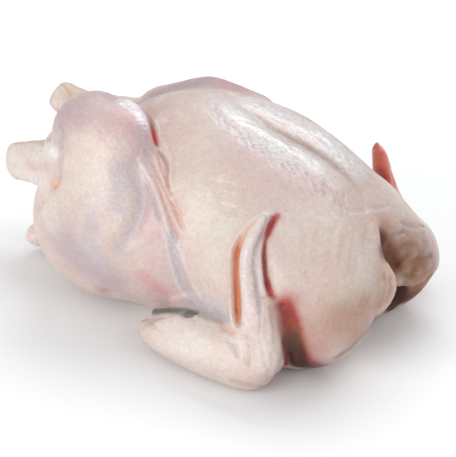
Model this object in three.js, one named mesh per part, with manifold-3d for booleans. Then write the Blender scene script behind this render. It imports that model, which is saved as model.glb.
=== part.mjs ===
// A whole raw chicken lying on its back: breast up, legs folded and cut off at the hocks, wings folded with their
// tips leaning on the breast. It is one piece, so it is one closed solid. Millimetres, +Z up, +X towards the neck.
// Forms are placed from the front end of the breastbone (x = 0), the midline (y = 0, the near side is -Y) and the
// board (z = 0). The finished solid is then moved so that its origin is the middle of the space it takes up.
import * as THREE from "three";
import { mergeVertices } from "three/addons/utils/BufferGeometryUtils.js";
import Module from "manifold-3d";

const wasm = await Module();
wasm.setup();

const NEAR = -1;
const FAR = 1;

// How softly one mass of flesh runs into the next, as the radius of the blend
const FLESH_BLEND = 16;
const BREAST_BLEND = 34;
const CREASE_BLEND = 12;

// Body skin: the rays that find it start on a straight line inside the trunk, from REAR_END to FRONT_END
const REAR_END = new THREE.Vector3(-176, 0, 50);
const FRONT_END = new THREE.Vector3(-46, 0, 50);
const AROUND = 60;
const REAR_RINGS = 13;
const SIDE_RINGS = 24;
const FRONT_RINGS = 15;
const REACH = 170; // no flesh lies farther than this from the line

// Distance functions: negative inside, positive outside, each made for one solid form

function ellipsoid(centre, radii, lean = [0, 0, 0]) {
  const middle = new THREE.Vector3(...centre);
  const size = new THREE.Vector3(...radii);
  const turn = new THREE.Quaternion()
    .setFromEuler(new THREE.Euler(...lean.map(THREE.MathUtils.degToRad)))
    .invert();
  const local = new THREE.Vector3();
  const scaled = new THREE.Vector3();
  return (point) => {
    local.copy(point).sub(middle).applyQuaternion(turn);
    const near = scaled.copy(local).divide(size).length();
    const slope = scaled.divide(size).length();
    return slope === 0 ? -Math.min(...radii) : (near * (near - 1)) / slope;
  };
}

// A rod with round ends whose radius changes evenly from one end to the other.
function taperedRod(from, to, fromRadius, toRadius) {
  const start = new THREE.Vector3(...from);
  const along = new THREE.Vector3(...to).sub(start);
  const local = new THREE.Vector3();
  return (point) => {
    local.copy(point).sub(start);
    const share = THREE.MathUtils.clamp(local.dot(along) / along.lengthSq(), 0, 1);
    return local.addScaledVector(along, -share).length() - THREE.MathUtils.lerp(fromRadius, toRadius, share);
  };
}

// The chain of tapered rods through [point, radius] stations.
function chain(stations) {
  const rods = [];
  for (let i = 0; i + 1 < stations.length; i++) {
    rods.push(taperedRod(stations[i][0], stations[i + 1][0], stations[i][1], stations[i + 1][1]));
  }
  return (point) => Math.min(...rods.map((rod) => rod(point)));
}

// Joins two distances; the seam is filled in within the given radius.
function blend(a, b, radius) {
  const overlap = Math.max(radius - Math.abs(a - b), 0) / radius;
  return Math.min(a, b) - overlap * overlap * radius * 0.25;
}

function blendAll(forms, radius) {
  return (point) => forms.map((form) => form(point)).reduce((a, b) => blend(a, b, radius));
}

// Takes one form out of another, with a rounded edge.
function carve(flesh, tool, radius) {
  return (point) => -blend(-flesh(point), tool(point), radius);
}

// The breast and ribs as one mass, highest near the rear end of the breastbone.
function breast() {
  return ellipsoid([-93, 0, 52], [104, 67, 74], [0, 3, 0]);
}

// At the neck end the breast muscles bulge out, one each side of the neck.
function nearLobe() {
  return ellipsoid([-23, -40, 41], [47, 36, 42], [0, 0, -6]);
}

function farLobe() {
  return ellipsoid([-22, 35, 36], [48, 33, 37], [0, 0, 6]);
}

function belly() {
  return blendAll(
    [ellipsoid([-146, 0, 55], [62, 52, 50]), ellipsoid([-182, -4, 38], [32, 38, 32])],
    FLESH_BLEND,
  );
}

// Thigh and drumstick of one side, folded together under one skin. The legs aren't folded alike: the near knee
// stands higher.
function nearLeg() {
  return blendAll(
    [
      chain([
        [[-140, -46, 103], 24],
        [[-162, -45, 104], 27],
        [[-179, -40, 90], 23],
      ]),
      ellipsoid([-149, -51, 52], [54, 35, 47], [0, -9, 0]),
      ellipsoid([-118, -52, 49], [44, 25, 36], [0, 6, 0]),
    ],
    FLESH_BLEND,
  );
}

function farLeg() {
  return blendAll(
    [
      chain([
        [[-117, 46, 89], 24],
        [[-145, 45, 92], 25],
        [[-176, 40, 84], 22],
      ]),
      ellipsoid([-149, 51, 54], [53, 34, 45]),
      ellipsoid([-118, 52, 46], [44, 26, 38], [0, 8, 0]),
    ],
    FLESH_BLEND,
  );
}

function bodyField() {
  const keelGroove = chain([
    [[-120, 0, 136], 5],
    [[-80, 0, 130], 6],
    [[-40, 0, 120], 6],
    [[-6, 0, 98], 7],
  ]);
  const neckHollow = ellipsoid([17, 1, 29], [20, 6, 27], [0, 12, 0]);
  const nearHalf = blendAll([breast(), nearLobe()], BREAST_BLEND);
  const farHalf = blendAll([breast(), farLobe()], BREAST_BLEND);
  const front = blendAll([nearHalf, farHalf], 4);
  const flesh = blendAll([carve(front, keelGroove, 12), belly()], FLESH_BLEND);
  return blendAll([carve(flesh, neckHollow, 8), nearLeg(), farLeg()], CREASE_BLEND);
}

// Where a ray from inside last leaves the flesh.
function skinPoint(field, origin, direction) {
  const at = (distance) => origin.clone().addScaledVector(direction, distance);
  let outer = REACH;
  while (outer > 2 && field(at(outer)) > 0) {
    outer -= 2;
  }
  let inner = outer;
  outer += 2;
  for (let i = 0; i < 8; i++) {
    const middle = (inner + outer) / 2;
    if (field(at(middle)) > 0) {
      outer = middle;
    } else {
      inner = middle;
    }
  }
  return at(inner);
}

// A closed mesh through rings of equal length, with a point closing each end. The rings run from one end to the
// other, and each turns about that direction.
function closedLoft(rings, startPole, endPole) {
  const around = rings[0].length;
  const points = [...rings.flat(), startPole, endPole];
  const start = points.length - 2;
  const end = points.length - 1;
  const index = [];
  for (let j = 0; j < around; j++) {
    const k = (j + 1) % around;
    index.push(start, k, j);
    for (let i = 0; i + 1 < rings.length; i++) {
      const a = i * around;
      const b = a + around;
      index.push(a + j, a + k, b + k, a + j, b + k, b + j);
    }
    const last = (rings.length - 1) * around;
    index.push(end, last + j, last + k);
  }
  return new THREE.BufferGeometry().setFromPoints(points).setIndex(index);
}

// A manifold-3d solid of a closed three.js geometry.
function solid(geometry) {
  const bare = new THREE.BufferGeometry()
    .setAttribute("position", geometry.getAttribute("position"))
    .setIndex(geometry.getIndex());
  const merged = mergeVertices(bare, 1e-3);
  return new wasm.Manifold(
    new wasm.Mesh({
      numProp: 3,
      vertProperties: merged.attributes.position.array,
      triVerts: new Uint32Array(merged.index.array),
    }),
  );
}

// Trunk, breast, legs and tail in one skin: rays fan out backwards from the rear end of the inner line, sideways
// along it, and forwards from its front end.
function body() {
  const field = bodyField();
  const fans = [];
  for (let i = 1; i <= REAR_RINGS; i++) {
    fans.push([REAR_END, Math.PI - (Math.PI / 2) * (i / (REAR_RINGS + 1))]);
  }
  for (let i = 0; i <= SIDE_RINGS; i++) {
    fans.push([REAR_END.clone().lerp(FRONT_END, i / SIDE_RINGS), Math.PI / 2]);
  }
  for (let i = FRONT_RINGS; i >= 1; i--) {
    fans.push([FRONT_END, (Math.PI / 2) * (i / (FRONT_RINGS + 1))]);
  }
  const rings = fans.map(([origin, polar]) => {
    const ring = [];
    for (let j = 0; j < AROUND; j++) {
      const angle = (2 * Math.PI * j) / AROUND;
      const direction = new THREE.Vector3(
        Math.cos(polar),
        Math.sin(polar) * Math.cos(angle),
        Math.sin(polar) * Math.sin(angle),
      );
      ring.push(skinPoint(field, origin, direction));
    }
    return ring;
  });
  const back = skinPoint(field, REAR_END, new THREE.Vector3(-1, 0, 0));
  const front = skinPoint(field, FRONT_END, new THREE.Vector3(1, 0, 0));
  return solid(closedLoft(rings, back, front));
}

// Rounds a limb's end: 0 at the pole, 1 where the limb has its full girth. A blunt of 0 cuts the end off flat.
function endFactor(distance, blunt) {
  return blunt === 0 ? 1 : Math.sqrt(1 - (1 - Math.min(1, distance / blunt)) ** 2);
}

// A limb: oval sections along a smooth curve through its stations. Each station gives its centre, the half-width
// level across the limb and the half-height. The hint is the direction that counts as up.
function limb(stations, { around = 16, along = 12, bluntStart = 0.15, bluntEnd = 0.15, hint = [0, 0, 1] } = {}) {
  const centres = new THREE.CatmullRomCurve3(stations.map(([centre]) => new THREE.Vector3(...centre)));
  const sizes = new THREE.CatmullRomCurve3(stations.map(([, wide, high]) => new THREE.Vector3(wide, high, 0)));
  const upHint = new THREE.Vector3(...hint);
  const rings = [];
  for (let i = 0; i <= along; i++) {
    const share = 0.5 - 0.5 * Math.cos((Math.PI * (i + 0.5)) / (along + 1));
    const flatStart = bluntStart === 0 && i === 0;
    const flatEnd = bluntEnd === 0 && i === along;
    const t = flatStart ? 0 : flatEnd ? 1 : share;
    const centre = centres.getPoint(t);
    const size = sizes.getPoint(t);
    const forward = centres.getTangent(t);
    const across = new THREE.Vector3().crossVectors(upHint, forward).normalize();
    const up = new THREE.Vector3().crossVectors(forward, across);
    const factor = endFactor(t, bluntStart) * endFactor(1 - t, bluntEnd);
    const ring = [];
    for (let j = 0; j < around; j++) {
      const angle = (2 * Math.PI * j) / around;
      ring.push(
        centre
          .clone()
          .addScaledVector(across, Math.cos(angle) * size.x * factor)
          .addScaledVector(up, Math.sin(angle) * size.y * factor),
      );
    }
    rings.push(ring);
  }
  return solid(closedLoft(rings, centres.getPoint(0), centres.getPoint(1)));
}

// The end of each drumstick comes out of the fold and is cut off straight at the hock.
function nearHock() {
  return limb(
    [
      [[-185, -33, 76], 18, 20],
      [[-215, -26, 64], 15, 17],
      [[-237, -25, 60], 12, 13],
      [[-252, -25, 57], 11, 12],
    ],
    { bluntEnd: 0 },
  );
}

function farHock() {
  return limb(
    [
      [[-178, 36, 77], 18, 18],
      [[-208, 28, 80], 15, 16],
      [[-232, 22, 83], 12, 13],
      [[-253, 20, 87], 12, 13],
    ],
    { bluntEnd: 0 },
  );
}

function tail() {
  return limb(
    [
      [[-185, -8, 26], 24, 20],
      [[-208, -16, 18], 18, 14],
      [[-225, -29, 13], 12, 9],
      [[-234, -40, 12], 7, 7],
    ],
    { around: 14, along: 9 },
  );
}

function wingUpperArm(side) {
  return limb([
    [[-20, side * 56, 34], 20, 22],
    [[-55, side * 66, 24], 16, 17],
    [[-88, side * 76, 16], 10, 11],
  ]);
}

function wingForearm(side) {
  return limb([
    [[-102, side * 81, 14], 4, 6],
    [[-87, side * 81, 16], 13, 14],
    [[-57, side * 82, 17], 15.5, 18],
    [[-30, side * 81, 17], 15.5, 18],
    [[-8, side * 79, 17], 13, 16],
  ]);
}

// The last joint of the wing stands up from the wrist and leans on the breast, the near one closer than the far one.
function wingHand(side) {
  const lean = side === NEAR ? 0 : 13;
  return limb(
    [
      [[-18, side * 80, 14], 15, 12],
      [[-26, side * (79 + lean * 0.3), 36], 12.5, 9],
      [[-31, side * (73 + lean * 0.6), 56], 11.5, 7],
      [[-34, side * (64 + lean * 0.9), 78], 7.5, 6],
      [[-32, side * (54 + lean), 96], 3, 3],
    ],
    { hint: [0, side, 0.3] },
  );
}

function wingThumb(side) {
  return limb(
    [
      [[-11, side * 80, 14], 9, 11],
      [[-12, side * 80, 34], 8, 9],
      [[-18, side * 78, 57], 4.5, 5],
    ],
    { around: 12, along: 9, hint: [0, side, 0.3] },
  );
}

// Everything below the board is cut away, so that the bird rests on flat patches of its back and wings.
function belowBoard() {
  return solid(new THREE.BoxGeometry(600, 600, 100).translate(0, 0, -50));
}

function wholeBird() {
  const pieces = [body(), nearHock(), farHock(), tail()];
  for (const side of [NEAR, FAR]) {
    pieces.push(wingUpperArm(side), wingForearm(side), wingHand(side), wingThumb(side));
  }
  return pieces.reduce((bird, piece) => bird.add(piece)).subtract(belowBoard());
}

function geometryOf(manifold) {
  const { numProp, vertProperties, triVerts } = manifold.getMesh();
  const points = [];
  for (let i = 0; i < vertProperties.length; i += numProp) {
    points.push(new THREE.Vector3(...vertProperties.subarray(i, i + 3)));
  }
  return new THREE.BufferGeometry().setFromPoints(points).setIndex([...triVerts]);
}

const geometry = geometryOf(wholeBird());
geometry.computeBoundingBox();
const { min, max } = geometry.boundingBox;
geometry.translate(-(min.x + max.x) / 2, -(min.y + max.y) / 2, -min.z);
geometry.computeVertexNormals();

const skin = new THREE.MeshStandardMaterial({ color: 0xe6d0c6, roughness: 0.45, metalness: 0 });
const chicken = new THREE.Mesh(geometry, skin);
chicken.name = "chicken";

const group = new THREE.Group();
group.add(chicken);
export default group;
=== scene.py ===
"""A whole raw chicken on its back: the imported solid's skin, remeshed, worked by strokes, tinted and lit."""
import math

import bpy
import numpy as np
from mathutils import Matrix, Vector, noise
from mathutils.bvhtree import BVHTree

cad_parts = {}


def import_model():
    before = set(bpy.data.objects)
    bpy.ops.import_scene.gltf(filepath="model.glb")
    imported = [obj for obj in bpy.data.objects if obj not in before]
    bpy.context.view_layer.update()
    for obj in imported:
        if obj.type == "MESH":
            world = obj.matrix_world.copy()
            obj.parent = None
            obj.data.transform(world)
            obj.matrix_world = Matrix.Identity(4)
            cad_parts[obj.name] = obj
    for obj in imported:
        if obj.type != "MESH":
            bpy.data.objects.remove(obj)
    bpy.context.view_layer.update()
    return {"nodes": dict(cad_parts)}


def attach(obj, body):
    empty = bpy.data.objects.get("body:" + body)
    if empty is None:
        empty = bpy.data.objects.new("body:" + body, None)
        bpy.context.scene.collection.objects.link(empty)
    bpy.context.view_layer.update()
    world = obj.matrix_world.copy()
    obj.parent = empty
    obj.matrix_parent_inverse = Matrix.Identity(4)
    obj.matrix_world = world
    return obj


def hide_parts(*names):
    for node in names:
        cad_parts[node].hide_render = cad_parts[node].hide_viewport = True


MM = 0.001

# The photograph's viewpoint
AZIMUTH = math.radians(36)
ELEVATION = math.radians(27)
DISTANCE = 0.85
FOCAL_PX = 1232.5
FRAME_PX = (456, 457)
SENSOR_MM = 36
AIM = Vector((-0.0318, 0.068, 0.0))
BACK = Vector(
    (
        math.sin(AZIMUTH) * math.cos(ELEVATION),
        -math.cos(AZIMUTH) * math.cos(ELEVATION),
        math.sin(ELEVATION),
    )
)
RIGHT = Vector((math.cos(AZIMUTH), math.sin(AZIMUTH), 0))
UP = BACK.cross(RIGHT)
EYE = AIM + BACK * DISTANCE

# Strokes copied to the far side: where the far wing begins, how it leans outwards, how much they wander
FAR_WING_FROM = 0.056
FAR_WING_HEIGHTS = (0.014, 0.036, 0.056, 0.078, 0.096)
FAR_WING_LEANS = (0, 0.004, 0.008, 0.012, 0.013)
WANDER = 0.002
WANDER_SCALE = 25
WANDER_SEED = 1

# Strokes: how many widths they reach, how soon they grip a slanted skin, how they thin out towards their ends
REACH = 2.5
GRIP = 2
TAPER_POWER = 0.7

# How many places a stroke must have to be smoothed, and how often it is smoothed
SMOOTHED_FROM = 5
SMOOTHINGS = 4

# How full a stain and a gap's painted shade are along their middle, and the weakest mask that counts
STAIN_FULLNESS = 1.25
DARK_FULLNESS = 1.5
MASK_FROM = 0.02

# Uneven colour: how much red, green and blue vary together, and the fineness and strength of each layer
VARY = (0.25, 1.1, 1.0)
PATCHES = ((38, 0.09), (110, 0.06), (330, 0.05))

# The skin's material: the fineness of its patterns, and the heights of its reliefs in metres
MOTTLE_SCALE = 420
PORE_SCALE = 300
PORE_EDGE = 0.42
GRAIN_SCALE = 600
CREASE_SCALES = (260, 900, 900)
CREASE_TURN = 0.35
PIMPLE_HEIGHT = 0.0006
GRAIN_HEIGHT = 0.001
CREASE_HEIGHT = 0.0013

# How finely the forms and the skin are meshed and smoothed, the share of its triangles that the skin keeps,
# and how far skin must face the camera to be left as fine as it is
FORM_VOXEL = 1.8 * MM
FORM_SMOOTHING = 20
SKIN_VOXEL = 1.1 * MM
SKIN_SMOOTHING = 6
SKIN_SHARE = 0.58
SEEN_FROM = 0.02

# The crinkles along the breastbone: height in mm, fineness along, across and up, slant, drift and sharpness
CRINKLE = 0.22
CRINKLE_SCALES = (130, 380, 200)
CRINKLE_SLANT = 60
DRIFT_SCALE = 60
DRIFT = 1.5
SHARPNESS = 3.2

# The soft lumps of fat and muscle: height in mm, and the fineness and the share of each layer
LUMPS = 0.4
LUMP_LAYERS = ((55, 1), (130, 0.5), (290, 0.25))

# The mix node's sockets for colours: its names are shared with those for numbers
MIX_FIRST_COLOUR = 6
MIX_SECOND_COLOUR = 7
MIX_COLOUR = 2

# Lights: name, direction that it comes from, distance, sides in metres, power; and the place they all aim at
LIGHTS = (
    ("key_light", (-0.2, -0.95, 0.3), 1.6, (1, 0.9), 14),
    ("top_light", (-0.05, 0.56, 0.83), 1.3, (1.4, 0.6), 9),
    ("fill_light", (0.9, -0.1, 0.6), 1.8, (0.9, 0.9), 3.4),
)
LIT_PLACE = Vector((0, 0, 0.05))
ROOM_BRIGHTNESS = 0.58

# The floor's size in metres and its colour
FLOOR_SIZE = 8
FLOOR_WHITE = (0.925, 0.94, 0.95)

# Tints of raw chicken skin, linear. Some stand in for light: SHEEN and SPARKLE serve as painted highlights,
# SHADE as painted shadow, and RED, BLOOD, MAROON, BROWN, ROSE_BROWN and ORANGE also as painted shade in gaps,
# creases and underneath.
CREAM = (0.69, 0.585, 0.51)
PALE = (0.625, 0.495, 0.445)
PALE_PINK = (0.62, 0.48, 0.455)
PINK_WHITE = (0.67, 0.545, 0.53)
WING_PALE = (0.72, 0.645, 0.595)
WING_PINK = (0.71, 0.60, 0.575)
PINK = (0.62, 0.43, 0.44)
ROSE = (0.57, 0.36, 0.36)
ROSE_BROWN = (0.43, 0.22, 0.135)
MAUVE = (0.51, 0.38, 0.395)
DUSK = (0.36, 0.24, 0.24)
LILAC = (0.50, 0.44, 0.465)
GREY_LILAC = (0.38, 0.32, 0.34)
GREY_PINK = (0.43, 0.345, 0.31)
PLUM = (0.28, 0.12, 0.14)
BLUSH = (0.62, 0.28, 0.30)
PEACH = (0.70, 0.40, 0.29)
PEACH_SKIN = (0.58, 0.38, 0.30)
ORANGE = (0.62, 0.15, 0.045)
SCARLET = (0.66, 0.09, 0.055)
RED = (0.42, 0.045, 0.03)
BLOOD = (0.30, 0.025, 0.018)
MAROON = (0.07, 0.01, 0.008)
TAUPE = (0.26, 0.115, 0.045)
BROWN = (0.19, 0.065, 0.035)
CORAL = (0.76, 0.17, 0.13)
WHITE = (0.76, 0.72, 0.71)
SHEEN = (0.66, 0.61, 0.61)
SPARKLE = (0.87, 0.85, 0.86)
YELLOW = (0.55, 0.42, 0.15)
SHADE = (0.075, 0.075, 0.07)


def add_camera():
    """The camera at the photograph's viewpoint."""
    bpy.ops.object.camera_add(location=EYE)
    camera = bpy.context.object
    camera.name = "photo_camera"
    camera.rotation_mode = "QUATERNION"
    camera.rotation_quaternion = (-BACK).to_track_quat("-Z", "Y")
    camera.data.sensor_width = SENSOR_MM
    camera.data.lens = FOCAL_PX / max(FRAME_PX) * SENSOR_MM
    bpy.context.scene.camera = camera


def sight(pixel):
    """The direction in which the photograph sees a pixel."""
    across = (pixel[0] - FRAME_PX[0] / 2) / FOCAL_PX
    above = (FRAME_PX[1] / 2 - pixel[1]) / FOCAL_PX
    return (RIGHT * across + UP * above - BACK).normalized()


def sway(number, rate):
    """A value between -1 and 1 that makes each of several repeats a little different."""
    return math.sin(number * rate)


def select(obj):
    """Makes an object the only selected one, and active."""
    bpy.ops.object.select_all(action="DESELECT")
    obj.select_set(True)
    bpy.context.view_layer.objects.active = obj


def apply_modifier(obj, kind, **settings):
    """Adds one modifier to an object and applies it."""
    select(obj)
    modifier = obj.modifiers.new(kind.lower(), kind)
    for key, value in settings.items():
        setattr(modifier, key, value)
    bpy.ops.object.modifier_apply(modifier=modifier.name)


def merged_copy(node, name):
    """A copy of a CAD node as one connected surface."""
    copy = bpy.data.objects.new(name, node.data.copy())
    bpy.context.scene.collection.objects.link(copy)
    select(copy)
    bpy.ops.object.mode_set(mode="EDIT")
    bpy.ops.mesh.select_all(action="SELECT")
    bpy.ops.mesh.remove_doubles(threshold=0.01 * MM)
    bpy.ops.object.mode_set(mode="OBJECT")
    return copy


def smooth_line(corners, step=2.0):
    """Points about a step apart on a smooth curve through the corners."""
    corners = np.array(corners, float)
    if len(corners) == 1:
        return corners
    padded = np.vstack([2 * corners[0] - corners[1], corners, 2 * corners[-1] - corners[-2]])
    points = []
    for a, b, c, d in zip(padded, padded[1:], padded[2:], padded[3:]):
        count = max(2, int(np.linalg.norm(c - b) / step))
        for t in np.arange(count) / count:
            bend = 2 * b + (c - a) * t + (2 * a - 5 * b + 4 * c - d) * t**2 + (3 * b - a - 3 * c + d) * t**3
            points.append(bend / 2)
    points.append(corners[-1])
    return np.array(points)


class Skin:
    """The skin while it is worked: its points, their normals, tint and masks. Strokes take widths in mm."""

    def __init__(self, obj):
        self.object = obj
        self.mesh = obj.data
        self.points = self.read(self.mesh.vertices, "co")
        pairs = np.empty(len(self.mesh.edges) * 2, int)
        self.mesh.edges.foreach_get("vertices", pairs)
        self.edges = pairs.reshape(-1, 2)
        self.tint = np.tile(np.array(PALE), (len(self.points), 1))
        self.crinkle = np.zeros(len(self.points))
        self.gloss = np.zeros(len(self.points))
        self.worked = np.zeros(len(self.points))
        self.mirrored = False
        self.update()

    def read(self, items, field):
        """A vector field of the mesh's items as rows of three."""
        values = np.empty(len(items) * 3)
        items.foreach_get(field, values)
        return values.reshape(-1, 3)

    def update(self):
        """Writes the points to the mesh and takes their normals and the surface again."""
        self.mesh.vertices.foreach_set("co", self.points.ravel())
        self.mesh.update()
        self.normals = self.read(self.mesh.vertices, "normal")
        self.surface = BVHTree.FromObject(self.object, bpy.context.evaluated_depsgraph_get())

    def relax(self, weight, passes):
        """Draws points towards the mean of their neighbours."""
        first, second = self.edges.T
        number = len(self.points)
        count = np.bincount(self.edges.ravel(), minlength=number)
        for _ in range(passes):
            for axis in range(3):
                value = self.points[:, axis]
                total = np.bincount(first, value[second], number) + np.bincount(second, value[first], number)
                self.points[:, axis] += (total / count - value) * 0.5 * weight

    def seen_at(self, pixel):
        """The place on the skin that the photograph shows at a pixel, or the one nearest to it."""
        direction = sight(pixel)
        hit, _, _, _ = self.surface.ray_cast(EYE, direction)
        if hit is not None:
            return np.array(hit)
        away = self.points - np.array(EYE)
        direction = np.array(direction)
        off_line = away - np.outer(away @ direction, direction)
        return self.points[np.argmin((off_line**2).sum(1))]

    def laid(self, places):
        """A stroke through places near the skin, smoothed if long: its places on the skin and the normals."""
        places = np.array(places)
        if len(places) >= SMOOTHED_FROM:
            for _ in range(SMOOTHINGS):
                places[1:-1] = (places[:-2] + 2 * places[1:-1] + places[2:]) / 4
        found = [self.surface.find_nearest(Vector(place)) for place in places]
        return np.array([f[0] for f in found]), np.array([f[1] for f in found])

    def line(self, *pixels):
        """The stroke along a curve of pixels of the photograph, or its image on the far side."""
        places = np.array([self.seen_at(pixel) for pixel in smooth_line(pixels)])
        if self.mirrored:
            places *= (1, -1, 1)
            beyond_body = places[:, 1] > FAR_WING_FROM
            places[beyond_body, 1] += np.interp(places[beyond_body, 2], FAR_WING_HEIGHTS, FAR_WING_LEANS)
            places += [noise.noise_vector(place * WANDER_SCALE) * WANDER for place in map(Vector, places)]
        return self.laid(places)

    def beside(self, pixel, neighbour, back):
        """The place seen at a pixel, at the depth of the skin at a neighbouring pixel, or mm behind it."""
        depth = (EYE - Vector(self.seen_at(neighbour))).dot(BACK) + back * MM
        direction = sight(pixel)
        return EYE + direction * (depth / -direction.dot(BACK))

    def reach(self, line, width, taper=0.0, all_sides=False):
        """The points near a stroke, how strongly it touches each, and the nearest places on it."""
        points, normals = line
        width = width * MM
        low = points.min(0) - REACH * width
        high = points.max(0) + REACH * width
        index = np.nonzero(((self.points > low) & (self.points < high)).all(1))[0]
        near = self.points[index]
        square = np.full(len(index), np.inf)
        nearest = np.zeros((len(index), 3))
        normal = np.zeros((len(index), 3))
        share = np.zeros(len(index))
        last = max(1, len(points) - 1)
        for place in range(last):
            start = points[place]
            end = points[min(place + 1, len(points) - 1)]
            along = end - start
            part = np.clip((near - start) @ along / max(along @ along, 1e-12), 0, 1)
            spot = start + part[:, None] * along
            gap = ((near - spot) ** 2).sum(1)
            closer = gap < square
            square[closer] = gap[closer]
            nearest[closer] = spot[closer]
            normal[closer] = normals[place]
            share[closer] = (place + part[closer]) / last
        weight = np.exp(-square / width**2)
        if not all_sides:
            weight *= np.clip((self.normals[index] * normal).sum(1) * GRIP, 0, 1)
        if taper and len(points) > 1:
            weight *= np.clip(np.minimum(share, 1 - share) / taper, 0, 1) ** TAPER_POWER
        return index, weight, nearest

    def press(self, line, width, depth, pinch=0.2, taper=0.15):
        """Presses a furrow into the skin along a stroke, or raises a fold where the depth is negative."""
        index, weight, nearest = self.reach(line, width, taper)
        self.points[index] -= self.normals[index] * (depth * MM * weight)[:, None]
        self.points[index] += (nearest - self.points[index]) * (pinch * weight)[:, None]
        self.worked[index] = np.maximum(self.worked[index], weight)

    def shift(self, line, width, right, up):
        """Moves the skin near a stroke, as seen in the photograph: mm to the right and mm up."""
        points = line[0]
        gap = self.points[:, None, :] - points[None, ::2, :]
        weight = np.exp(-(gap**2).sum(2).min(1) / (width * MM) ** 2)
        move = np.array(RIGHT * right + UP * up) * MM
        self.points += move * weight[:, None]

    def raise_mask(self, mask, line, width, strength, taper=0.0):
        """Raises a mask along a stroke."""
        index, weight, _ = self.reach(line, width, taper)
        mask[index] = np.maximum(mask[index], weight * strength)

    def stain(self, line, width, colour, strength=0.8, taper=0.0):
        """Tints the skin along a stroke."""
        index, weight, _ = self.reach(line, width, taper)
        share = (np.clip(weight * STAIN_FULLNESS, 0, 1) * strength)[:, None]
        self.tint[index] = self.tint[index] * (1 - share) + np.array(colour) * share

    def stain_rows(self, rows):
        """Tints the skin along curves of pixels: each row is a width, a colour, a strength and the pixels."""
        for width, colour, strength, *pixels in rows:
            self.stain(self.line(*pixels), width, colour, strength)

    def darken(self, line, width, colour):
        """Paints shade in the given dark colour on all the sides of a deep gap along a stroke, and takes
        their gloss away.
        """
        index, weight, _ = self.reach(line, width, all_sides=True)
        share = np.clip(weight * DARK_FULLNESS, 0, 1)
        self.tint[index] += (np.array(colour) - self.tint[index]) * share[:, None]
        self.gloss[index] = np.minimum(self.gloss[index], -share)

    def emboss(self, height, depth, mask=None):
        """Lifts the skin by a height function, everywhere or where a mask counts."""
        index = np.arange(len(self.points)) if mask is None else np.nonzero(mask > MASK_FROM)[0]
        lift = np.array([height(point) for point in self.points[index].tolist()]) * depth * MM
        if mask is not None:
            lift *= mask[index]
        self.points[index] += self.normals[index] * lift[:, None]

    def store(self):
        """Keeps the tint and the gloss on the mesh for the material."""
        colours = np.ones((len(self.points), 4), np.float32)
        colours[:, :3] = self.tint
        attribute = self.mesh.color_attributes.new("skin_tint", "FLOAT_COLOR", "POINT")
        attribute.data.foreach_set("color", colours.ravel())
        gloss = self.mesh.attributes.new("gloss", "FLOAT", "POINT")
        gloss.data.foreach_set("value", self.gloss.astype(np.float32))


# The solid's groove along the breastbone, in metres: half its width, the height of the crown that fills it,
# where along X it fades in and out, its lowest place, how far its skin must face up, a height above the bird
GROOVE_SIDE = 0.020
GROOVE_CROWN = 0.002
GROOVE_FADE = (-0.035, -0.02, 0.102, 0.122)
GROOVE_LOWEST = 0.06
GROOVE_FACING = 0.15
ABOVE_BIRD = 0.3

# The middles of each hock's cut end and root, and the radius, in metres, and how many places go round it
HOCKS = (
    ((-0.140, -0.025, 0.057), (-0.098, -0.026, 0.066)),
    ((-0.141, 0.020, 0.087), (-0.093, 0.029, 0.080)),
)
HOCK_RADIUS = 0.015
HOCK_PLACES = 25

# The steps between the wrinkles of the near comb and the far one, in pixels
NEAR_COMB_STEP = 4.4
FAR_COMB_STEP = 5

# Curves of the photograph's pixels that several strokes follow
FURROW = [
    (237, 103), (253, 115), (271, 129), (291, 139), (311, 150),
    (328, 161), (344, 174), (358, 190), (367, 202),
]
COMB = [(206, 104), (230, 126), (256, 146), (284, 164), (312, 180), (340, 200)]
KNEE_CREASE = [(148, 113), (151, 121), (154, 131), (156, 140), (158, 148)]
LOWER_CREASE = [(158, 149), (162, 155), (166, 163), (167.5, 171), (166.5, 179), (169, 190)]
CHANNEL = [(246, 233), (240, 243), (236, 256), (235, 273), (236, 291), (237, 308), (238, 328)]
BLADE_CREASE = [(274, 217), (269, 228), (265, 240), (264, 255), (265, 271), (267, 284), (271, 296)]
CLEFT = [(379, 226), (380, 236), (381, 246), (384, 258), (390, 268)]
NECK_GAP = [(402, 288), (398, 298), (388, 308)]
ARM_SLOT = [(153, 312), (160, 311), (168, 310), (182, 311), (197, 314)]
WING_GAP = [(284, 304), (290, 320), (293, 338), (297, 352), (304, 366)]
WRIST_EDGE = [(280, 304), (285, 318), (287.5, 332), (288, 346), (287, 358), (284, 370)]

# The loose neck skin's two rolls and the web at the knee, in pixels, with radii and distance behind in mm
OUTER_ROLL = [(384, 268), (389, 276), (390, 286), (388, 296), (384, 305), (378, 313)]
OUTER_RADII = (2, 3.5, 4, 3.5, 2.5, 1.5)
OUTER_BESIDE = 372
INNER_ROLL = [(380, 266), (383, 276), (383, 288), (380, 300), (375, 311)]
INNER_RADII = (2.5, 4, 4.5, 4, 2.5)
INNER_BESIDE = 370
ROLL_BEHIND = 10
WEB = [(121, 99), (129, 103), (137, 109), (144, 118)]
WEB_RADII = (1.5, 2.5, 2.5, 1.5)
WEB_BESIDE = (-6, 9)
WEB_BEHIND = 9


def add_roll(obj, places, radii):
    """Joins a roll of flesh to the skin: balls at the places, with radii in mm that follow the given ones."""
    along = np.linspace(0, 1, len(places))
    sizes = np.interp(along, np.linspace(0, 1, len(radii)), radii) * MM
    for place, size in zip(places, sizes):
        bpy.ops.mesh.primitive_ico_sphere_add(subdivisions=2, radius=size, location=place)
        bpy.context.object.select_set(True)
        obj.select_set(True)
        bpy.context.view_layer.objects.active = obj
        bpy.ops.object.join()


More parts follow.
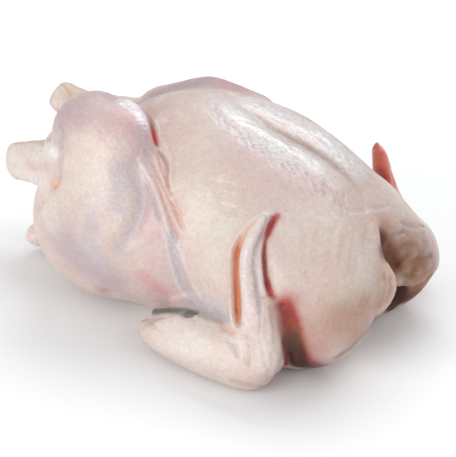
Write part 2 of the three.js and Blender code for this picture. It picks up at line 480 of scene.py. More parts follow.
def add_rolls(obj):
    """The loose neck skin that stands out beyond the near lobe, and the web of skin at the near knee."""
    skin = Skin(obj)
    bpy.ops.object.select_all(action="DESELECT")
    rolls = ((OUTER_ROLL, OUTER_BESIDE, OUTER_RADII), (INNER_ROLL, INNER_BESIDE, INNER_RADII))
    for pixels, beside, radii in rolls:
        roll = smooth_line(pixels)
        add_roll(obj, [skin.beside(pixel, (beside, pixel[1]), ROLL_BEHIND) for pixel in roll], radii)
    web = smooth_line(WEB)
    add_roll(obj, [skin.beside(pixel, pixel + WEB_BESIDE, WEB_BEHIND) for pixel in web], WEB_RADII)


def fill_groove(skin):
    """Fills the solid's straight groove up to a low crown, because the real furrow bends and is shallow."""
    x, y, z = skin.points.T
    inside = (abs(y) < GROOVE_SIDE) & (z > GROOVE_LOWEST) & (skin.normals[:, 2] > GROOVE_FACING)
    for index in np.nonzero(inside & (x > GROOVE_FADE[0]) & (x < GROOVE_FADE[-1]))[0]:
        heights = []
        for side in (-GROOVE_SIDE, GROOVE_SIDE):
            hit = skin.surface.ray_cast((x[index], side, ABOVE_BIRD), (0, 0, -1))[0]
            heights.append(hit[2] if hit else z[index])
        share = y[index] / GROOVE_SIDE
        crown = np.interp(share, (-1, 1), heights) + GROOVE_CROWN * (1 - share**2)
        fade = np.interp(x[index], GROOVE_FADE, (0, 1, 1, 0))
        skin.points[index, 2] += fade * max(0, crown - z[index])
    skin.update()


def move_outlines(skin):
    """Moves stretches of the outline: each row is a width, mm to the right, mm up, and the pixels."""
    moves = (
        # The far lobe and the far wing
        (9, -7, -4.5, (400, 190), (408, 198), (414, 206)),
        (5, -4, 0, (388, 142), (394, 158), (401, 176)),
        (5, 4.5, 0, (372, 230), (374, 250), (380, 268)),
        (9, -1, 6, (396, 316), (410, 310), (424, 300), (434, 288)),
        # The near wing
        (8, 0, 4, (112, 297), (126, 301), (142, 305)),
        (3, 0.5, 3, (268, 302), (274, 302)),
        # The thigh and the hocks
        (8, 9, 1, (52, 115), (49, 124), (47, 135)),
        (6, -4, -1, (57, 103), (60, 110)),
        (8, 6.5, 0, (40, 190), (36, 200)),
        (7, 0, 2.2, (8, 149), (22, 146), (36, 145)),
        (8, 0, -1.8, (14, 174), (30, 178), (42, 182)),
    )
    for width, right, up, *pixels in moves:
        skin.shift(skin.line(*pixels), width, right, up)


def press_gaps(skin):
    """The gaps of the near wing and between the lobes."""
    slot_mouth = skin.line((142, 318), (147, 314), (153, 312))
    slot_floor = skin.line((148, 310), (160, 310), (172, 310))
    cleft_floor = skin.line((386, 246), (391, 256), (397, 266))
    skin.press(slot_mouth, 6, 5, pinch=0, taper=0)
    skin.press(skin.line(*CHANNEL), 2.2, 4)
    skin.press(skin.line(*BLADE_CREASE), 2, 4)
    skin.press(skin.line(*CLEFT), 4, 4.5)
    skin.press(cleft_floor, 6, 4)
    skin.press(skin.line(*NECK_GAP), 6, 11)
    skin.press(skin.line(*ARM_SLOT), 2.4, 9)
    skin.press(slot_floor, 3.4, 8)
    slot_end = skin.line((141, 313), (149, 311), (159, 311))
    skin.press(slot_end, 2.8, 11, pinch=0, taper=0)
    skin.press(skin.line(*WING_GAP), 4.5, 6)
    skin.press(skin.line(*WRIST_EDGE), 2.2, 8)


def press_forms(skin):
    """The deep hollows and the outlines, worked before the skin is meshed again."""
    skin.press(skin.line(*FURROW), 3.2, 2.6, taper=0.4)
    move_outlines(skin)
    press_gaps(skin)


def keel(skin):
    """Two glossy bands along the breastbone with a painted sheen, the furrow between them with painted shade,
    and a comb of wrinkles beside them.
    """
    furrow = skin.line(*FURROW)
    near_band = skin.line((204, 94), (226, 109), (252, 129), (275, 144), (300, 158), (324, 173), (346, 192))
    far_band = skin.line((240, 95), (264, 107), (292, 121), (321, 137), (347, 158), (368, 180))
    for band, width, taper in ((near_band, 9, 0.3), (far_band, 8, 0.15)):
        skin.press(band, width, -1, pinch=0)
        skin.raise_mask(skin.gloss, band, 11, 1, taper)
        skin.raise_mask(skin.crinkle, band, 11, 1, taper)
        # Painted sheen: the band is tinted pale as if it shone
        skin.stain(band, width, SHEEN, 0.8, taper)
    # Painted shade: the furrow is tinted darker along its middle
    skin.stain(furrow, 2.2, TAUPE, 0.4, taper=0.4)
    skin.press(furrow, 1.8, 1.4, taper=0.4)
    for number, (across, down) in enumerate(smooth_line(COMB, NEAR_COMB_STEP)):
        length = 13 + 5 * sway(number, 2.4)
        start = (across + 3 * sway(number, 1.3), down - 6)
        middle = (across + length * 0.3, down + length * 0.25)
        wrinkle = skin.line(start, middle, (across + length * 0.6, down + length))
        skin.press(wrinkle, 1, 0.9 + 0.4 * sway(number, 1.7), pinch=0.1)
        skin.stain(wrinkle, 0.8, ROSE, 0.3)


def breast(skin):
    """The rim at the breast's rear end with painted shade behind it, creases over its front with painted
    white highlights, and fine parallel wrinkles on its flank.
    """
    behind_rim = skin.line((139, 102), (150, 98), (162, 92), (178, 86), (198, 82), (218, 81), (238, 87))
    blush_behind = skin.line((222, 84), (238, 89), (254, 98))
    rim = skin.line((151, 112), (156, 103), (164, 97), (178, 92), (200, 90), (225, 91), (246, 100))
    creases = (
        ((366, 208), (380, 209), (391, 204)),
        ((345, 211), (356, 212), (368, 211)),
    )
    skin.stain(behind_rim, 14, MAUVE, 0.7)
    # Painted shade behind the rim, over the far leg's mauve
    skin.stain(behind_rim, 9, DUSK, 0.6)
    skin.stain(blush_behind, 5, BLUSH, 0.6)
    skin.press(rim, 2.4, -1)
    skin.stain(rim, 1.6, CREAM, 0.6)
    for pixels in creases:
        crease = skin.line(*pixels)
        skin.press(crease, 1.2, 1.3)
        # Painted highlight along the crease
        skin.stain(crease, 1.1, WHITE, 0.8)
    for number in range(8):
        down = 180 + 4.2 * number
        middle = (230 + 3 * sway(number, 2.1), down + 4)
        wrinkle = skin.line((206 + 2 * number, down), middle, (252, down + 10), (272 - number, down + 15))
        skin.press(wrinkle, 1.1, 0.6, pinch=0.1)


def knee(skin):
    """The near knee: white membrane with a painted sheen, dark crease with painted shade above it, and the
    wavy edge of the breast skin beside it.
    """
    pinks = (
        (7, BLUSH, 0.3, (118, 106), (128, 116), (137, 132)),
        (10, PINK, 0.35, (106, 114), (120, 130), (132, 150)),
    )
    membrane = skin.line((122, 101), (130, 105), (137, 111), (144, 121))
    below_membrane = skin.line((143, 132), (146, 146))
    crease = skin.line(*KNEE_CREASE)
    crease_top = skin.line((148, 106), (151, 114), (153, 122))
    crease_foot = skin.line((153, 127), (155, 136), (157, 144))
    lower_crease = skin.line(*LOWER_CREASE)
    lip = skin.line((157, 120), (160, 136), (164, 147), (169, 156), (171.5, 168), (170, 180), (173, 190))
    beside_lip = skin.line((163, 122), (165, 140), (171, 154), (175, 168))
    skin.stain_rows(pinks)
    skin.raise_mask(skin.gloss, membrane, 4, 1)
    skin.raise_mask(skin.crinkle, membrane, 4, 1)
    # White membrane, its sparkle partly a painted sheen
    skin.stain(membrane, 3, SPARKLE, 0.9, taper=0.1)
    for number in range(7):
        across = 122 + 3.2 * number
        down = 102 + 4.2 * number
        skin.press(skin.line((across, down), (across + 3, down - 2), (across + 5, down + 1)), 0.9, 0.8)
    skin.stain(below_membrane, 5, MAUVE, 0.7)
    # Painted shade above the crease
    skin.stain(crease_top, 4, ROSE_BROWN, 0.5, taper=0.2)
    skin.stain(crease, 1.2, RED, 0.95, taper=0.3)
    skin.stain(crease_foot, 1.2, SCARLET, 0.9, taper=0.3)
    skin.press(crease, 1.1, 4.5, pinch=0.3, taper=0.35)
    skin.stain(lower_crease, 1, PLUM, 0.5, taper=0.1)
    skin.press(lower_crease, 1.1, 2.2, pinch=0.3)
    skin.press(lip, 1.8, -1.6)
    skin.stain(lip, 1.4, CREAM, 0.5)
    skin.press(beside_lip, 1.4, 0.8)


def strands(skin):
    """Strands of skin stretched from the knee to the flank: mauve and peach hollows, pale ridges between."""
    mauve = skin.line((146, 178), (152, 192), (157, 206), (161, 220))
    peach_patch = skin.line((158, 178), (167, 198), (178, 220))
    skin.stain(mauve, 2.4, LILAC, 0.6)
    skin.press(mauve, 1.8, 1.2)
    skin.stain(peach_patch, 4, PEACH_SKIN, 0.45)
    hollows = (
        (MAUVE, (145, 150), (151, 162), (158, 177), (164, 190)),
        (PEACH, (150, 152), (155, 165), (163, 187), (172, 203), (180, 220)),
        (PEACH, (156, 152), (160, 164), (167, 186), (174, 200), (184, 216)),
        (PEACH, (152, 172), (160, 190), (167, 208), (174, 226), (182, 242)),
        (PEACH, (171, 198), (176, 208), (180, 222), (184, 232)),
    )
    for colour, *pixels in hollows:
        hollow = skin.line(*pixels)
        skin.stain(hollow, 0.9, colour, 0.75, taper=0.3)
        skin.press(hollow, 0.9, 1.2)
    ridges = (
        ((147, 152), (153, 165), (160, 182), (168, 199)),
        ((154, 153), (158, 168), (165, 186), (173, 204), (180, 214)),
        ((156, 178), (164, 196), (171, 214), (178, 228)),
        ((170, 194), (177, 204), (186, 214)),
    )
    for pixels in ridges:
        ridge = skin.line(*pixels)
        skin.stain(ridge, 0.8, WHITE, 0.5, taper=0.2)
        skin.press(ridge, 0.9, -1)
    long_ridge = skin.line((138, 158), (146, 172), (153, 187), (160, 203), (165, 218), (170, 234), (178, 248))
    skin.stain(long_ridge, 1.2, WHITE, 0.6)
    skin.press(long_ridge, 1.4, -1.8)


def flank(skin):
    """The crinkled hollow between the thigh and the forearm, its two pale edges and two folds at its end."""
    hollow = skin.line((170, 238), (174, 256), (180, 276), (188, 294), (202, 305), (220, 314))
    upper_edge = skin.line((178, 246), (184, 262), (191, 280), (200, 298))
    lower_edge = skin.line((165, 236), (169, 254), (176, 278), (184, 296))
    folds = (
        ((198, 284), (203, 304), (214, 317)),
        ((206, 280), (212, 302), (222, 314)),
    )
    skin.stain(hollow, 4.5, LILAC, 0.75)
    skin.press(hollow, 4, 1.4)
    skin.raise_mask(skin.crinkle, hollow, 6, 1)
    for edge in (upper_edge, lower_edge):
        skin.stain(edge, 1.1, WHITE, 0.35)
        skin.press(edge, 1.2, -0.8)
    for pixels in folds:
        skin.press(skin.line(*pixels), 1.2, 0.8)


def thigh(skin):
    """The near thigh: hollows over the muscles, mauve lower side, cream side, blotches."""
    lower_side = skin.line((56, 232), (80, 258), (108, 278))
    rear_side = skin.line((44, 200), (52, 222))
    first_hollow = skin.line((128, 166), (136, 182), (141, 198), (140, 214), (130, 234), (118, 248))
    middle_hollow = skin.line((116, 168), (120, 190), (118, 210))
    rose_edge = skin.line((143, 190), (147, 206), (144, 220), (136, 236))
    second_hollow = skin.line((93, 220), (90, 238), (96, 256))
    muscle = skin.line((104, 214), (102, 236), (108, 256))
    blotches = (
        (9, BLUSH, 0.35, (147, 280), (153, 285)),
        (3.5, BLUSH, 0.45, (144, 276), (152, 284), (160, 290)),
        (3, BLUSH, 0.8, (105, 289)),
    )
    skin.stain(lower_side, 13, MAUVE, 0.8)
    skin.stain(lower_side, 11, GREY_LILAC, 0.4)
    skin.stain(rear_side, 8, CREAM, 0.6)
    # Painted shade, lilac, in the hollow
    skin.stain(first_hollow, 4, LILAC, 0.7)
    skin.press(first_hollow, 5, 2.8, taper=0.35)
    # Painted shade, lilac, in the hollow
    skin.stain(middle_hollow, 5, LILAC, 0.45)
    skin.press(middle_hollow, 5, 1.2, taper=0.5)
    skin.stain(rose_edge, 2.6, ROSE, 0.5)
    # Painted shade, lilac, in the hollow
    skin.stain(second_hollow, 6, LILAC, 0.6)
    skin.press(second_hollow, 5, 1.8, taper=0.5)
    skin.press(muscle, 5, -1.2, taper=0.5)
    skin.stain_rows(blotches)
    for number in range(9):
        across = 96 + 5 * number
        down = 124 + 6 * sway(number, 1.9)
        wrinkle = skin.line((across, down), (across + 5, down + 8), (across + 6, down + 17))
        skin.press(wrinkle, 1.1, 0.35, pinch=0.05)


def near_hock(skin):
    """The tints and folds that show on the near hock and at its root."""
    tints = (
        (9, WING_PALE, 0.8, (14, 152), (30, 153), (48, 152)),
        (6, WING_PALE, 0.8, (14, 176), (28, 177), (42, 180)),
        (2.4, ROSE_BROWN, 0.35, (16, 143), (32, 141), (50, 140)),
        (3.4, ROSE, 0.45, (28, 166), (38, 168), (48, 166)),
    )
    long_fold = skin.line((14, 168), (30, 170), (46, 171))
    root = skin.line((61, 128), (60, 150), (59, 174), (54, 188))
    behind_root = skin.line((45, 140), (44, 154), (47, 170))
    # A painted highlight on the hock's root, and an orange spot below it
    root_highlight_and_spot = (
        (3.4, WHITE, 0.8, (48, 147), (55, 153)),
        (3.4, PEACH, 0.9, (50, 187), (56, 184)),
    )
    skin.stain_rows(tints)
    skin.press(long_fold, 2, 0.8)
    for number in range(7):
        across = 16 + 4.4 * number
        skin.press(skin.line((across, 172), (across + 2, 176), (across + 1, 181)), 0.9, 0.6)
    skin.press(root, 2, 2.6)
    skin.stain(root, 2, GREY_LILAC, 0.6)
    skin.press(behind_root, 1.6, 0.9)
    skin.stain_rows(root_highlight_and_spot)


def far_hock_and_tail(skin):
    """The tints and folds that show on the far hock, and the tail's tints with a painted highlight."""
    yellow_fold = skin.line((61, 84), (66, 89), (71, 95))
    pale_side = skin.line((54, 92), (58, 108))
    root = skin.line((78, 92), (72, 104), (66, 120))
    # The white row is a painted highlight on the tail nub; the peach row is its own colour
    tail = (
        (7, SPARKLE, 0.45, (28, 232), (31, 244)),
        (3, PEACH, 0.3, (30, 236), (32, 246)),
    )
    skin.stain(yellow_fold, 1.1, YELLOW, 0.9)
    skin.press(yellow_fold, 1.1, 0.8)
    skin.stain(pale_side, 5, WING_PALE, 0.7)
    skin.press(root, 2, 1.2)
    skin.stain_rows(tail)


def cut_ends(skin):
    """Both hocks' cut ends, white gristle with two knobs and a groove, and the folds round the hocks."""
    angles = np.linspace(0, math.tau, HOCK_PLACES)
    circle = np.array([(0, HOCK_RADIUS * math.cos(a), HOCK_RADIUS * math.sin(a)) for a in angles])
    for end, root in HOCKS:
        cut = skin.laid([end])
        skin.stain(cut, 13, ROSE, 0.7)
        skin.stain(cut, 7.5, WHITE, 0.9)
        skin.stain(cut, 2.5, ROSE_BROWN, 0.5)
        for side in (-1, 1):
            skin.press(skin.laid([(end[0], end[1] + side * 5 * MM, end[2])]), 4, -1.6, pinch=0)
        groove = [(end[0], end[1], end[2] + lift * MM) for lift in (-8, -4, 0, 4, 8)]
        skin.press(skin.laid(groove), 1.6, 1.2)
        for share, depth in ((0.3, 0.7), (0.62, 1), (0.95, 1.6)):
            middle = np.array(end) * (1 - share) + np.array(root) * share
            skin.press(skin.laid(middle + circle), 1.5, depth, taper=0)


def last_joint(skin):
    """A wing's last joint, standing against the breast: channel, flap and grooves. The forearm is pale."""
    ridge = skin.line((260, 220), (252, 236), (246, 251), (244, 269), (246, 291), (248, 319))
    forearm = skin.line((160, 328), (188, 340), (220, 350), (250, 356), (268, 345))
    channel = skin.line(*CHANNEL)
    channel_top = skin.line((252, 225), (246, 233), (241, 243))
    flap = skin.line(
        (264, 213), (252, 220), (243, 230), (235, 242), (231, 254), (231, 280), (231, 306), (233, 328)
    )
    groove = skin.line((263, 232), (257, 246), (254, 259), (254, 270), (257, 286), (258, 305), (259, 332))
    fine_groove = skin.line((262, 250), (258, 262), (259, 280), (262, 300))
    border = skin.line((269, 219), (263, 240), (260, 258), (262, 277), (266, 294))
    skin.stain(ridge, 5, WING_PINK, 0.85)
    skin.stain(forearm, 13, WING_PALE, 0.8)
    # Painted shade in the channel, orange as in a shaded translucent fold
    skin.stain(channel, 2, ORANGE, 0.95, taper=0.15)
    skin.stain(channel_top, 2.4, PEACH, 0.8)
    skin.press(channel, 1.5, 2.8)
    skin.press(flap, 1.5, -1.8)
    skin.stain(flap, 1.3, CREAM, 0.9)
    skin.press(ridge, 3, -1.2)
    skin.stain(groove, 1.4, GREY_LILAC, 0.6)
    skin.press(groove, 1.4, 1.8)
    skin.press(fine_groove, 0.9, 0.9)
    skin.press(border, 1.2, -1.2)
    skin.stain(border, 1.1, WHITE, 0.7)


def blade_crease(skin):
    """The crease behind the near wing's tip, with the tip's red shadow painted along it."""
    # Painted red shadow of the wing's tip on the breast
    reds = (
        (1, RED, 0.95, *BLADE_CREASE),
        (2, RED, 0.9, (277, 216), (272, 225), (268, 234)),
        (2, RED, 0.9, (267, 282), (270, 292), (273, 297)),
    )
    skin.stain_rows(reds)
    skin.press(skin.line(*BLADE_CREASE), 1.2, 3, pinch=0.35)


def wing_gap(skin):
    """The gap between a wing and the lobe, painted red and dark as its light and shade, and the forearm's
    tuck, fringe and slot, with painted shadow in the slot.
    """
    # The first five rows are painted light and shade: a red glow through the skin at the gap's mouth, going
    # to blood red and maroon shade in its depth
    tints = (
        (8, ROSE, 0.7, (292, 302), (302, 326), (316, 348)),
        (6, RED, 0.95, (286, 304), (292, 318), (297, 334), (304, 352)),
        (6, BLOOD, 0.95, (290, 326), (295, 342), (302, 356), (322, 369)),
        (5, MAROON, 0.95, (288, 340), (293, 352), (304, 364), (320, 370)),
        (1.6, BLOOD, 0.9, *WRIST_EDGE),
        (4, LILAC, 0.7, (206, 309), (216, 315), (228, 319)),
    )
    tuck = skin.line((222, 327), (229, 331), (234, 334))
    fringe = skin.line((158, 316), (170, 315), (182, 317), (192, 316), (204, 321), (218, 325), (228, 329))
    skin.stain_rows(tints)
    skin.stain(tuck, 1.8, PEACH, 0.6)
    skin.press(tuck, 1.3, 1.8)
    skin.press(fringe, 1.6, -0.9, pinch=0)
    # Painted shadow in the slot between the thigh and the forearm
    skin.stain(skin.line(*ARM_SLOT), 2.2, SHADE, 0.9)


def darken_wing_gap(skin):
    """Painted shade in the depth of the near wing's gap, on all its sides."""
    top = skin.line((289, 314), (292, 326), (294, 338))
    foot = skin.line((294, 338), (295, 350), (297, 364))
    skin.darken(top, 2.5, BLOOD)
    skin.darken(foot, 4.5, MAROON)


def wing_folds(skin):
    """Folds at a wing's wrist and elbow, faint peach spots, and the brown edges underneath."""
    folds = (
        ((262, 306), (266, 322), (265, 340)),
        ((270, 306), (274, 326), (275, 348)),
        ((246, 336), (252, 350), (249, 366)),
        ((259, 342), (263, 356), (268, 370)),
        ((272, 352), (273, 366), (266, 378)),
        ((150, 322), (158, 328), (166, 340)),
        ((228, 340), (236, 347), (238, 358)),
    )
    for pixels in folds:
        fold = skin.line(*pixels)
        skin.press(fold, 1.5, 1)
        skin.stain(fold, 1.2, ROSE_BROWN, 0.15)
    for width, spot in ((6, (172, 334)), (8, (214, 346)), (6, (252, 368)), (4, (150, 330))):
        skin.stain(skin.line(spot), width, PEACH, 0.14)
    cross_fold = skin.line((240, 338), (252, 344), (264, 342))
    lower_edges = (
        (2.4, BROWN, 0.35, (282, 352), (278, 370), (270, 383)),
        (1.8, ROSE_BROWN, 0.4, (232, 381), (250, 385), (266, 387)),
    )
    skin.press(cross_fold, 2.2, 1)
    skin.stain_rows(lower_edges)


def wing(skin):
    """A wing. The crease's painted red shadow and the painted shade in the depth behind the near one aren't
    repeated on the far one.
    """
    last_joint(skin)
    if not skin.mirrored:
        blade_crease(skin)
    wing_gap(skin)
    if not skin.mirrored:
        darken_wing_gap(skin)
    wing_folds(skin)


def far_lobe(skin):
    """The far lobe, browner towards its foot, its wrinkles and lumps, with painted shade along its foot,
    beside the cleft and in the dark cleft and gaps.
    """
    shades = (
        (13, PALE_PINK, 0.8, (396, 214), (412, 226), (428, 244)),
        (10, GREY_PINK, 0.7, (412, 240), (424, 250), (430, 262)),
        (13, TAUPE, 1, (402, 258), (416, 268), (422, 280)),
        # These two rows are painted shade along the lobe's foot
        (8, ROSE_BROWN, 0.75, (400, 292), (414, 290), (428, 280)),
        (5, BROWN, 0.75, (396, 304), (412, 300), (426, 292)),
        # Painted shade beside the cleft
        (8, ROSE_BROWN, 0.75, (385, 228), (391, 242), (398, 258)),
    )
    cleft_depth = skin.line((384, 240), (388, 252), (394, 265))
    skin.stain_rows(shades)
    # Painted shade in the cleft's depth and along the cleft
    skin.darken(cleft_depth, 4.5, BROWN)
    skin.stain(skin.line(*CLEFT), 3.2, MAROON, 0.85, taper=0.4)
    wrinkles = (
        ((391, 265), (398, 262), (407, 255)),
        ((391, 268), (399, 271), (408, 276)),
        ((393, 252), (402, 246), (412, 244)),
        ((388, 240), (396, 234), (404, 232)),
        ((404, 284), (412, 276), (416, 266)),
        ((410, 262), (420, 258), (432, 256)),
        ((412, 290), (422, 284), (432, 274)),
        ((402, 222), (412, 226), (424, 226)),
    )
    for pixels in wrinkles:
        wrinkle = skin.line(*pixels)
        skin.press(wrinkle, 1.6, 2)
        skin.stain(wrinkle, 1.1, BROWN, 0.4)
    foot_gap = skin.line((404, 300), (414, 296), (424, 288))
    neck_gap = skin.line((400, 288), (398, 298), (392, 306))
    # Painted shade in the gaps at the lobe's foot and by the neck skin
    skin.darken(foot_gap, 5, BROWN)
    skin.darken(neck_gap, 5.5, MAROON)
    for number in range(18):
        lump = skin.line((413 + 16 * sway(number, 2.4), 256 + 26 * sway(number, 1.1)))
        skin.press(lump, 2.6, -1.1, pinch=0)
        skin.stain(lump, 2, PALE_PINK, 0.25)


def neck_skin(skin):
    """The loose neck skin with two long folds and some wrinkles beside it."""
    roll = skin.line((386, 270), (391, 282), (389, 297), (380, 312))
    inner_fold = skin.line((384, 276), (385, 290), (379, 306))
    outer_fold = skin.line((390, 278), (391, 290), (386, 302))
    skin.stain(roll, 6, PEACH_SKIN, 0.8)
    for fold in (inner_fold, outer_fold):
        skin.press(fold, 1.2, 1.2)
        skin.stain(fold, 1.2, TAUPE, 0.4)
    for number in range(4):
        across = 362 + 5 * number
        wrinkle = skin.line((across + 4, 276 + 3 * number), (across + 2, 292), (across - 4, 308 + number))
        skin.press(wrinkle, 1, 0.7, pinch=0.1)


def near_lobe(skin):
    """The near lobe: faint upright streaks, and brown painted shade along its foot."""
    for number in range(11):
        across = 304 + 6 * number
        down = 226 + 5 * sway(number, 2.3)
        foot = down + 46 + 8 * sway(number, 1.7)
        streak = skin.line((across + 4, down), (across, down + 22), (across - 2, foot))
        skin.press(streak, 1.6, 0.45, pinch=0)
        skin.stain(streak, 1.6, PINK_WHITE if number % 2 else PEACH_SKIN, 0.25, taper=0.3)
    # Painted shade, brown, along the lobe's foot
    shades = (
        (15, ROSE_BROWN, 0.4, (312, 338), (330, 326), (350, 318)),
        (9, ROSE_BROWN, 0.5, (340, 320), (352, 322)),
        (7, ROSE_BROWN, 0.65, (366, 306), (368, 320), (356, 338)),
        (4, BROWN, 0.6, (340, 356), (358, 342), (374, 322)),
    )
    skin.stain_rows(shades)


def far_wing(skin):
    """The tips of the far wing, red where the light comes through."""
    reds = (
        (6, CORAL, 0.95, (377, 150), (376, 166)),
        (6, CORAL, 0.95, (381, 141), (384, 165), (394, 184)),
        (6, CORAL, 0.95, (388, 150), (396, 176)),
        (3, RED, 0.7, (380, 172), (388, 182)),
    )
    skin.stain_rows(reds)


def far_side(skin):
    """The far side, which the photograph doesn't show, worked as the near one."""
    skin.mirrored = True
    for area in (base_tint, thigh, strands, flank, wing):
        area(skin)
    for number, (across, down) in enumerate(smooth_line(COMB, FAR_COMB_STEP)):
        length = 12 + 5 * sway(number, 1.9)
        middle = (across + length * 0.3, down + length * 0.5)
        wrinkle = skin.line((across, down), middle, (across, down + length))
        skin.press(wrinkle, 1.4, 0.8, pinch=0.1)
    skin.mirrored = False


def rear(skin):
    """The rear between the legs, hidden too: a fold on each side and the vent's crease, in metres."""
    for side in (-1, 1):
        fold = skin.laid(
            [(-0.06, side * 0.012, 0.105), (-0.078, side * 0.008, 0.07), (-0.09, side * 0.014, 0.04)]
        )
        skin.stain(fold, 9, MAUVE, 0.5)
        skin.press(fold, 5, 2.4)
    vent = skin.laid(
        [(-0.07, 0.002, 0.09), (-0.08, 0.001, 0.07), (-0.088, -0.002, 0.05), (-0.092, -0.005, 0.035)]
    )
    skin.stain(vent, 4, ROSE_BROWN, 0.5)
    skin.press(vent, 2.4, 3.4)


def crinkle_height(point):
    """Height of the fine crinkles at a point: short irregular ridges along the breastbone."""
    x, y, z = point
    along, across, up = CRINKLE_SCALES
    drift = noise.noise((x * DRIFT_SCALE, y * DRIFT_SCALE, z * DRIFT_SCALE)) * DRIFT
    ridge = noise.noise((x * along + drift, y * across - x * CRINKLE_SLANT, z * up + drift))
    return 1 - SHARPNESS * abs(ridge)


def lumpy_height(point):
    """Height of the soft lumps at a point."""
    place = Vector(point)
    return sum(share * noise.noise(place * scale) for scale, share in LUMP_LAYERS)


def base_tint(skin):
    """The wide tints: cream breast, pinker front and legs."""
    tints = (
        (34, PALE_PINK, 0.6, (240, 150), (280, 200), (310, 240)),
        (22, CREAM, 0.7, (180, 215), (210, 205), (216, 250)),
        (12, CREAM, 0.4, (172, 120), (190, 140)),
        (17, CREAM, 0.6, (322, 262), (338, 284)),
        (15, CREAM, 0.55, (345, 236), (354, 262)),
        (19, MAUVE, 0.9, (66, 112), (98, 102), (130, 116)),
        (7.5, MAUVE, 0.85, (68, 112), (66, 130), (62, 158), (60, 178)),
        (8, MAUVE, 0.7, (136, 128), (144, 148)),
        (15, PINK_WHITE, 0.75, (112, 132), (116, 160), (114, 190)),
        (14, CREAM, 0.75, (106, 140), (76, 168), (56, 200)),
        (9, PINK, 0.6, (150, 205), (158, 245), (160, 262)),
        (8, PINK, 0.5, (100, 285), (140, 294), (180, 300)),
    )
    skin.stain_rows(tints)


# The areas in the order in which they are worked
AREAS = (
    base_tint, far_side, rear, breast, keel, thigh, strands, flank, knee,
    near_hock, far_hock_and_tail, cut_ends, wing, far_lobe, neck_skin, near_lobe, far_wing,
)


def vary(skin):
    """Uneven colour: pinker and creamier patches over the whole skin, with finer ones inside them."""
    for scale, strength in PATCHES:
        field = np.array([noise.noise(Vector(point) * scale) for point in skin.points])
        skin.tint *= 1 + strength * field[:, None] * np.array(VARY)


def thin_hidden_side(obj):
    """Leaves the side that the photograph shows finely meshed and thins the mesh of the other sides."""
    group = obj.vertex_groups.new(name="hidden_side")
    hidden = [v.index for v in obj.data.vertices if v.normal.dot(EYE - v.co) < SEEN_FROM]
    group.add(hidden, 1, "REPLACE")
    apply_modifier(obj, "DECIMATE", ratio=SKIN_SHARE, vertex_group="hidden_side")
    obj.vertex_groups.clear()


def make_skin(frame):
    """The bird's skin: the CAD solid meshed finely, then worked and tinted stroke by stroke."""
    obj = merged_copy(frame["nodes"]["chicken"], "chicken_skin")
    apply_modifier(obj, "REMESH", mode="VOXEL", voxel_size=FORM_VOXEL)
    apply_modifier(obj, "SMOOTH", factor=0.5, iterations=FORM_SMOOTHING)
    add_rolls(obj)
    forms = Skin(obj)
    fill_groove(forms)
    press_forms(forms)
    forms.update()
    apply_modifier(obj, "REMESH", mode="VOXEL", voxel_size=SKIN_VOXEL)
    apply_modifier(obj, "SMOOTH", factor=0.5, iterations=SKIN_SMOOTHING)
    thin_hidden_side(obj)
    skin = Skin(obj)
    for area in AREAS:
        area(skin)
    vary(skin)
    skin.relax(skin.worked * 0.5, 2)
    skin.emboss(crinkle_height, CRINKLE, skin.crinkle)
    skin.emboss(lumpy_height, LUMPS)
    skin.update()
    skin.store()
    select(obj)
    bpy.ops.object.shade_smooth()
    return obj


def set_inputs(tree, node, inputs):
    """Gives each of a node's inputs a constant, or links it to another node's output."""
    for name, value in inputs.items():
        if isinstance(value, bpy.types.NodeSocket):
            tree.links.new(value, node.inputs[name])
        else:
            node.inputs[name].default_value = value


def add_node(tree, kind, inputs, **settings):
    """A new node with its settings and inputs."""
    node = tree.nodes.new("ShaderNode" + kind)
    for name, value in settings.items():
        setattr(node, name, value)
    set_inputs(tree, node, inputs)
    return node


def mapped(tree, value, source, target=(0, 1), **settings):
    """An output carried from one range over to another, and kept within it."""
    inputs = {"From Min": source[0], "From Max": source[1], "To Min": target[0], "To Max": target[1]}
    node = add_node(tree, "MapRange", inputs, **settings)
    tree.links.new(value, node.inputs["Value"])
    return node.outputs["Result"]


def relief(tree, height, strength, distance, below=None):
    """The normals of a relief, laid over those of the relief below it."""
    inputs = {"Height": height, "Strength": strength, "Distance": distance}
    if below:
        inputs["Normal"] = below
    return add_node(tree, "Bump", inputs).outputs["Normal"]


def skin_pimples(tree, place):
    """Small round pimples where the feathers were: 1 in their middles, 0 between them."""
    pores = add_node(tree, "TexVoronoi", {"Vector": place, "Scale": PORE_SCALE})
    return mapped(tree, pores.outputs["Distance"], (0, PORE_EDGE), (1, 0), interpolation_type="SMOOTHSTEP")


def skin_creases(tree, place):
    """Fine creases, drawn out along the breastbone."""
    turned = {"Vector": place, "Scale": CREASE_SCALES, "Rotation": (0, 0, CREASE_TURN)}
    stretched = add_node(tree, "Mapping", turned).outputs["Vector"]
    inputs = {"Vector": stretched, "Scale": 1, "Detail": 3, "Distortion": 0.8}
    return add_node(tree, "TexNoise", inputs).outputs["Fac"]


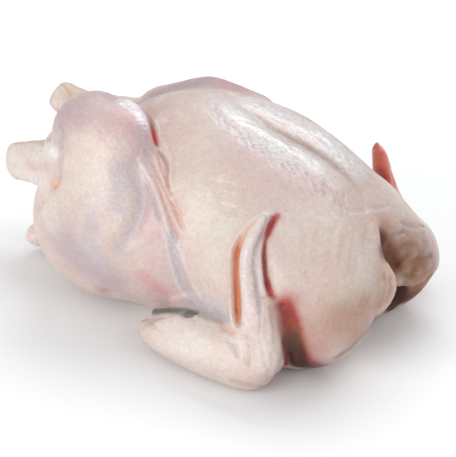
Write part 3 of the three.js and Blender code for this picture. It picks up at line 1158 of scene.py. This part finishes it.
def skin_colour(tree, place, gloss, pimples, creases):
    """The strokes' tint, mottled, paler on the pimples, and flecked with white painted highlights where the
    skin is glossy.
    """
    tint = add_node(tree, "Attribute", {}, attribute_name="skin_tint").outputs["Color"]
    mottle = add_node(tree, "TexNoise", {"Vector": place, "Scale": MOTTLE_SCALE, "Detail": 4})
    shade = mapped(tree, mottle.outputs["Fac"], (0.3, 0.7), (0.93, 1.05))
    spotted = add_node(tree, "Math", {0: pimples, 1: 0.05, 2: shade}, operation="MULTIPLY_ADD")
    mottled = add_node(tree, "VectorMath", {0: tint, "Scale": spotted.outputs["Value"]}, operation="SCALE")
    # Painted highlights: white flecks where the skin is glossy
    flecks = mapped(tree, creases, (0.34, 0.6))
    sparkle = add_node(tree, "Math", {0: flecks, 1: gloss}, operation="MULTIPLY")
    inputs = {
        "Factor": sparkle.outputs["Value"],
        MIX_FIRST_COLOUR: mottled.outputs["Vector"],
        MIX_SECOND_COLOUR: (*SPARKLE, 1),
    }
    return add_node(tree, "Mix", inputs, data_type="RGBA").outputs[MIX_COLOUR]


def skin_relief(tree, place, gloss, pimples, creases):
    """The pimples, a fine grain over them, and the creases where the skin is glossy."""
    inputs = {"Vector": place, "Scale": GRAIN_SCALE, "Detail": 4, "Roughness": 0.65}
    grain = add_node(tree, "TexNoise", inputs)
    pimpled = relief(tree, pimples, 0.32, PIMPLE_HEIGHT)
    grained = relief(tree, grain.outputs["Fac"], 0.8, GRAIN_HEIGHT, pimpled)
    return relief(tree, creases, gloss, CREASE_HEIGHT, grained)


def skin_material():
    """Moist raw skin: tinted by the strokes, mottled, pimpled, softly glossy and slightly see-through."""
    material = bpy.data.materials.new("raw_skin")
    material.use_nodes = True
    tree = material.node_tree
    place = add_node(tree, "TexCoord", {}).outputs["Object"]
    gloss = add_node(tree, "Attribute", {}, attribute_name="gloss").outputs["Fac"]
    pimples = skin_pimples(tree, place)
    creases = skin_creases(tree, place)
    look = {
        "Base Color": skin_colour(tree, place, gloss, pimples, creases),
        "Roughness": mapped(tree, gloss, (-1, 1), (0.56, 0.32)),
        "Subsurface Weight": 0.22,
        "Subsurface Radius": (1.0, 0.4, 0.25),
        "Subsurface Scale": 0.0025,
        "Coat Weight": mapped(tree, gloss, (-0.43, 1)),
        "Coat Roughness": 0.28,
        "Coat IOR": 1.7,
        "Normal": skin_relief(tree, place, gloss, pimples, creases),
    }
    set_inputs(tree, tree.nodes["Principled BSDF"], look)
    return material


def add_floor():
    """A plain white surface under the bird."""
    bpy.ops.mesh.primitive_plane_add(size=FLOOR_SIZE, location=(0, 0, 0))
    floor = bpy.context.object
    floor.name = "floor"
    material = bpy.data.materials.new("white_floor")
    material.use_nodes = True
    shader = material.node_tree.nodes["Principled BSDF"]
    shader.inputs["Base Color"].default_value = (*FLOOR_WHITE, 1)
    shader.inputs["Roughness"].default_value = 0.9
    floor.data.materials.append(material)


def add_light(name, direction, distance, sides, power):
    """A soft light, wide and high as given in metres, that shines on the bird from a direction."""
    direction = Vector(direction).normalized()
    bpy.ops.object.light_add(type="AREA", location=direction * distance + LIT_PLACE)
    light = bpy.context.object
    light.name = name
    light.rotation_mode = "QUATERNION"
    light.rotation_quaternion = (-direction).to_track_quat("-Z", "Y")
    light.data.shape = "RECTANGLE"
    light.data.size, light.data.size_y = sides
    light.data.energy = power


def add_lights():
    """A large soft light from the left, one above and behind for the gloss, a weak one from the right."""
    for light in LIGHTS:
        add_light(*light)
    scene = bpy.context.scene
    world = scene.world or bpy.data.worlds.new("white_room")
    scene.world = world
    world.use_nodes = True
    background = world.node_tree.nodes["Background"]
    background.inputs["Color"].default_value = (1, 1, 1, 1)
    background.inputs["Strength"].default_value = ROOM_BRIGHTNESS
    scene.view_settings.view_transform = "Standard"


def main():
    """Builds the whole scene."""
    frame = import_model()
    noise.seed_set(WANDER_SEED)
    add_camera()
    skin = make_skin(frame)
    skin.data.materials.clear()
    skin.data.materials.append(skin_material())
    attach(skin, "root")
    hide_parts("chicken")
    add_floor()
    add_lights()


main()
